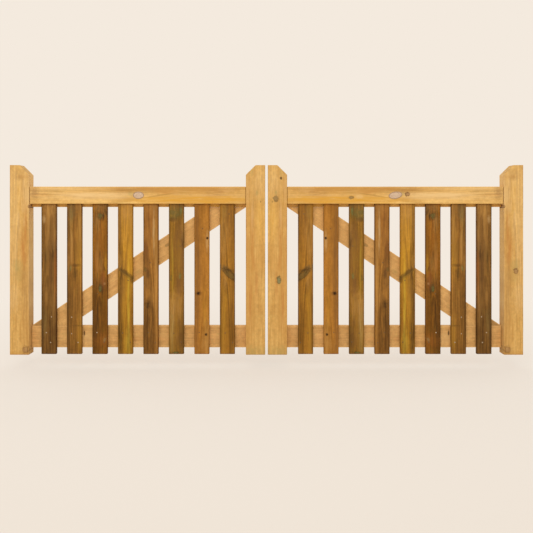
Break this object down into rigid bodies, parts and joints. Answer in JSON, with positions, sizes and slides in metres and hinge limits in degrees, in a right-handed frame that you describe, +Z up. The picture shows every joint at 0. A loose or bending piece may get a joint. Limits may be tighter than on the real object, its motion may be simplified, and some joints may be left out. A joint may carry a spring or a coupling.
{
  "type": "wooden driveway gate",
  "caption": "Low wooden driveway gate: paired leaves of upright pales under a rebated top rail, with a bottom rail and a diagonal brace, on butt hinges that open to the rear.",
  "frame": {"origin": "centre of the lower left hinge plate, on the flat face that meets the post", "axes": "+X along the pair from the left post to the right post, +Y to the rear, where the leaves open, +Z up"},
  "size_m": [2.452, 0.083, 0.9],
  "materials": {
    "stile_timber": "pressure-treated pine, planed, golden",
    "rail_timber": "pressure-treated pine, sawn, tan",
    "pale_chocolate": "treated pine pale, planed, dark stained",
    "pale_brown": "treated pine pale, planed, dark stained",
    "pale_amber": "treated pine pale, planed, dark stained",
    "pale_golden": "treated pine pale, planed, dark stained",
    "pale_russet": "treated pine pale, planed, dark stained",
    "pale_olive": "treated pine pale, planed, dark stained",
    "pale_orange": "treated pine pale, planed, dark stained",
    "pale_honey": "treated pine pale, planed, dark stained",
    "badge": "blank, weathered",
    "hinge_steel": "zinc plated"
  },
  "bodies": {
    "hinge_plates": {"left_upper_hinge_plate": "hinge_steel", "left_lower_hinge_plate": "hinge_steel", "right_upper_hinge_plate": "hinge_steel", "right_lower_hinge_plate": "hinge_steel"},
    "left_leaf": {"left_hanging_stile": "stile_timber", "left_meeting_stile": "stile_timber", "left_top_rail": "stile_timber", "left_bottom_rail": "rail_timber", "left_brace": "rail_timber", "left_pale_1": "pale_chocolate", "left_pale_2": "pale_brown", "left_pale_3": "pale_amber", "left_pale_4": "pale_golden", "left_pale_5": "pale_russet", "left_pale_6": "pale_olive", "left_pale_7": "pale_orange", "left_pale_8": "pale_honey", "left_badge_plate": "badge", "left_upper_hinge_flap": "hinge_steel", "left_lower_hinge_flap": "hinge_steel"},
    "right_leaf": {"right_hanging_stile": "stile_timber", "right_meeting_stile": "stile_timber", "right_top_rail": "stile_timber", "right_bottom_rail": "rail_timber", "right_brace": "rail_timber", "right_pale_1": "pale_chocolate", "right_pale_2": "pale_brown", "right_pale_3": "pale_amber", "right_pale_4": "pale_golden", "right_pale_5": "pale_russet", "right_pale_6": "pale_olive", "right_pale_7": "pale_orange", "right_pale_8": "pale_honey", "right_badge_plate": "badge", "right_upper_hinge_flap": "hinge_steel", "right_lower_hinge_flap": "hinge_steel"}
  },
  "joints": [
    {"name": "left_leaf_hinge", "type": "hinge", "parent": "hinge_plates", "child": "left_leaf", "pos_m": [0.006, 0.028, 0.3], "axis": [0, 0, 1], "range_deg": [0, 100]},
    {"name": "right_leaf_hinge", "type": "hinge", "parent": "hinge_plates", "child": "right_leaf", "pos_m": [2.446, 0.028, 0.3], "axis": [0, 0, -1], "range_deg": [0, 100]}
  ]
}
